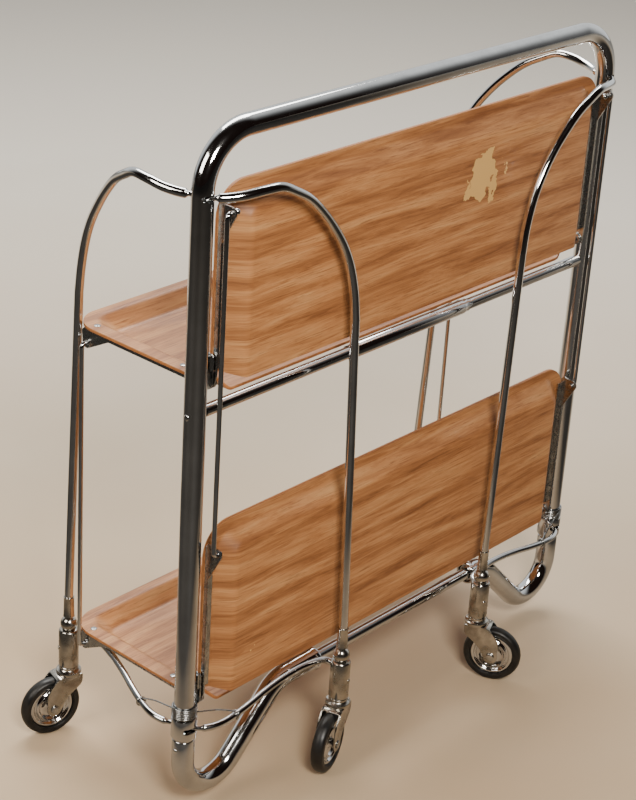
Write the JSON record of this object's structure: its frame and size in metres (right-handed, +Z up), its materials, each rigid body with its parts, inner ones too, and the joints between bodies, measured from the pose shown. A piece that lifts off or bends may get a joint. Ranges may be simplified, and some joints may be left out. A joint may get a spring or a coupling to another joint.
{
  "type": "bar cart on wheels",
  "caption": "Folding bar cart on casters: tubular frame, wood-laminate trays folding up on link rods, and sprung gate legs, shown with one side open.",
  "frame": {"origin": "centre of the bounding box's base, on the floor; the tubular frame's mid-plane is at y = -0.0637 m", "axes": "+Z up, +X along the frame from the left post to the right post, +Y towards the side that stands open"},
  "size_m": [0.7052, 0.318, 0.759],
  "materials": {
    "chrome_plate": "polished chrome plate",
    "bright_steel": "zinc plated steel",
    "zinc_casting": "satin plated die casting",
    "walnut_laminate": "satin walnut laminate on moulded ply",
    "black_rubber": "matt rubber"
  },
  "bodies": {
    "frame": {"handle_tube": "chrome_plate", "upper_rail": "chrome_plate", "upper_rail_sleeve": "chrome_plate", "lower_rail": "chrome_plate", "left_hook_tube": "chrome_plate", "left_hinge_plug": "bright_steel", "left_collar": "chrome_plate", "left_gate_spring": "bright_steel", "left_upper_tray_bracket": "bright_steel", "left_lower_tray_bracket": "bright_steel", "right_hook_tube": "chrome_plate", "right_hinge_plug": "bright_steel", "right_collar": "chrome_plate", "right_gate_spring": "bright_steel", "right_upper_tray_bracket": "bright_steel", "right_lower_tray_bracket": "bright_steel"},
    "far_upper_tray": {"far_upper_tray": "walnut_laminate", "far_upper_tray_left_arm": "bright_steel", "far_upper_tray_right_arm": "bright_steel"},
    "far_lower_tray": {"far_lower_tray": "walnut_laminate", "far_lower_tray_left_arm": "bright_steel", "far_lower_tray_right_arm": "bright_steel"},
    "far_links": {"far_left_link_rod": "chrome_plate", "far_right_link_rod": "chrome_plate"},
    "far_left_gate": {"far_left_hoop": "chrome_plate", "far_left_lower_arm": "chrome_plate", "far_left_caster_housing": "zinc_casting"},
    "far_left_swivel": {"far_left_fork": "zinc_casting", "far_left_axle": "bright_steel"},
    "far_left_wheel": {"far_left_wheel_disc": "chrome_plate", "far_left_tyre": "black_rubber"},
    "far_right_gate": {"far_right_hoop": "chrome_plate", "far_right_lower_arm": "chrome_plate", "far_right_caster_housing": "zinc_casting"},
    "far_right_swivel": {"far_right_fork": "zinc_casting", "far_right_axle": "bright_steel"},
    "far_right_wheel": {"far_right_wheel_disc": "chrome_plate", "far_right_tyre": "black_rubber"},
    "near_upper_tray": {"near_upper_tray": "walnut_laminate", "near_upper_tray_left_arm": "bright_steel", "near_upper_tray_right_arm": "bright_steel"},
    "near_lower_tray": {"near_lower_tray": "walnut_laminate", "near_lower_tray_left_arm": "bright_steel", "near_lower_tray_right_arm": "bright_steel"},
    "near_links": {"near_left_link_rod": "chrome_plate", "near_right_link_rod": "chrome_plate"},
    "near_left_gate": {"near_left_hoop": "chrome_plate", "near_left_lower_arm": "chrome_plate", "near_left_caster_housing": "zinc_casting"},
    "near_left_swivel": {"near_left_fork": "zinc_casting", "near_left_axle": "bright_steel"},
    "near_left_wheel": {"near_left_wheel_disc": "chrome_plate", "near_left_tyre": "black_rubber"},
    "near_right_gate": {"near_right_hoop": "chrome_plate", "near_right_lower_arm": "chrome_plate", "near_right_caster_housing": "zinc_casting"},
    "near_right_swivel": {"near_right_fork": "zinc_casting", "near_right_axle": "bright_steel"},
    "near_right_wheel": {"near_right_wheel_disc": "chrome_plate", "near_right_tyre": "black_rubber"}
  },
  "joints": [
    {"name": "far_upper_fold", "type": "hinge", "parent": "frame", "child": "far_upper_tray", "pos_m": [0, -0.06371, 0.5], "axis": [1, 0, 0], "range_deg": [0, 90]},
    {"name": "far_lower_fold", "type": "hinge", "parent": "frame", "child": "far_lower_tray", "pos_m": [0, -0.06371, 0.1415], "axis": [1, 0, 0], "range_deg": [0, 90]},
    {"name": "far_links_turn", "type": "hinge", "parent": "far_upper_tray", "child": "far_links", "pos_m": [0, 0.11228, 0.48], "axis": [1, 0, 0], "range_deg": [-90, 0]},
    {"name": "near_upper_fold", "type": "hinge", "parent": "frame", "child": "near_upper_tray", "pos_m": [0, -0.06371, 0.5], "axis": [1, 0, 0], "range_deg": [0, 1]},
    {"name": "near_lower_fold", "type": "hinge", "parent": "frame", "child": "near_lower_tray", "pos_m": [0, -0.06371, 0.1415], "axis": [1, 0, 0], "range_deg": [0, 1]},
    {"name": "near_links_turn", "type": "hinge", "parent": "near_upper_tray", "child": "near_links", "pos_m": [0, -0.08371, 0.676], "axis": [1, 0, 0], "range_deg": [-1, 0]},
    {"name": "far_left_gate_turn", "type": "hinge", "parent": "frame", "child": "far_left_gate", "pos_m": [-0.318, -0.05892, 0.4], "axis": [0, 0, 1], "range_deg": [0, 1], "stiffness_Nm_per_rad": 0.3, "springref_deg": -29.79},
    {"name": "far_left_swivel_turn", "type": "hinge", "parent": "far_left_gate", "child": "far_left_swivel", "pos_m": [-0.29725, 0.1385, 0.1], "axis": [0, 0, 1], "continuous": true},
    {"name": "far_left_wheel_turn", "type": "hinge", "parent": "far_left_swivel", "child": "far_left_wheel", "pos_m": [-0.31898, 0.14432, 0.0345], "axis": [-0.2588, -0.9659, 0], "continuous": true},
    {"name": "far_right_gate_turn", "type": "hinge", "parent": "frame", "child": "far_right_gate", "pos_m": [0.318, -0.05892, 0.4], "axis": [0, 0, 1], "range_deg": [-1, 0], "stiffness_Nm_per_rad": 0.3, "springref_deg": 29.79},
    {"name": "far_right_swivel_turn", "type": "hinge", "parent": "far_right_gate", "child": "far_right_swivel", "pos_m": [0.29725, 0.1385, 0.1], "axis": [0, 0, 1], "continuous": true},
    {"name": "far_right_wheel_turn", "type": "hinge", "parent": "far_right_swivel", "child": "far_right_wheel", "pos_m": [0.31898, 0.14432, 0.0345], "axis": [-0.2588, 0.9659, 0], "continuous": true},
    {"name": "near_left_gate_turn", "type": "hinge", "parent": "frame", "child": "near_left_gate", "pos_m": [-0.318, -0.06852, 0.4], "axis": [0, 0, 1], "range_deg": [-73, 0], "stiffness_Nm_per_rad": 0.3, "springref_deg": 29.79},
    {"name": "near_left_swivel_turn", "type": "hinge", "parent": "near_left_gate", "child": "near_left_swivel", "pos_m": [-0.12315, -0.10639, 0.1], "axis": [0, 0, 1], "continuous": true},
    {"name": "near_left_wheel_turn", "type": "hinge", "parent": "near_left_swivel", "child": "near_left_wheel", "pos_m": [-0.14442, -0.11372, 0.0345], "axis": [0.3256, -0.9455, 0], "continuous": true},
    {"name": "near_right_gate_turn", "type": "hinge", "parent": "frame", "child": "near_right_gate", "pos_m": [0.318, -0.06852, 0.4], "axis": [0, 0, 1], "range_deg": [0, 73], "stiffness_Nm_per_rad": 0.3, "springref_deg": -29.79},
    {"name": "near_right_swivel_turn", "type": "hinge", "parent": "near_right_gate", "child": "near_right_swivel", "pos_m": [0.12315, -0.10639, 0.1], "axis": [0, 0, 1], "continuous": true},
    {"name": "near_right_wheel_turn", "type": "hinge", "parent": "near_right_swivel", "child": "near_right_wheel", "pos_m": [0.13266, -0.12678, 0.0345], "axis": [0.9063, 0.4226, 0], "continuous": true}
  ],
  "couplings": [
    {"joint": "far_lower_fold", "follows": "far_upper_fold", "ratio": 1},
    {"joint": "far_links_turn", "follows": "far_upper_fold", "ratio": -1},
    {"joint": "near_lower_fold", "follows": "near_upper_fold", "ratio": 1},
    {"joint": "near_links_turn", "follows": "near_upper_fold", "ratio": -1}
  ]
}
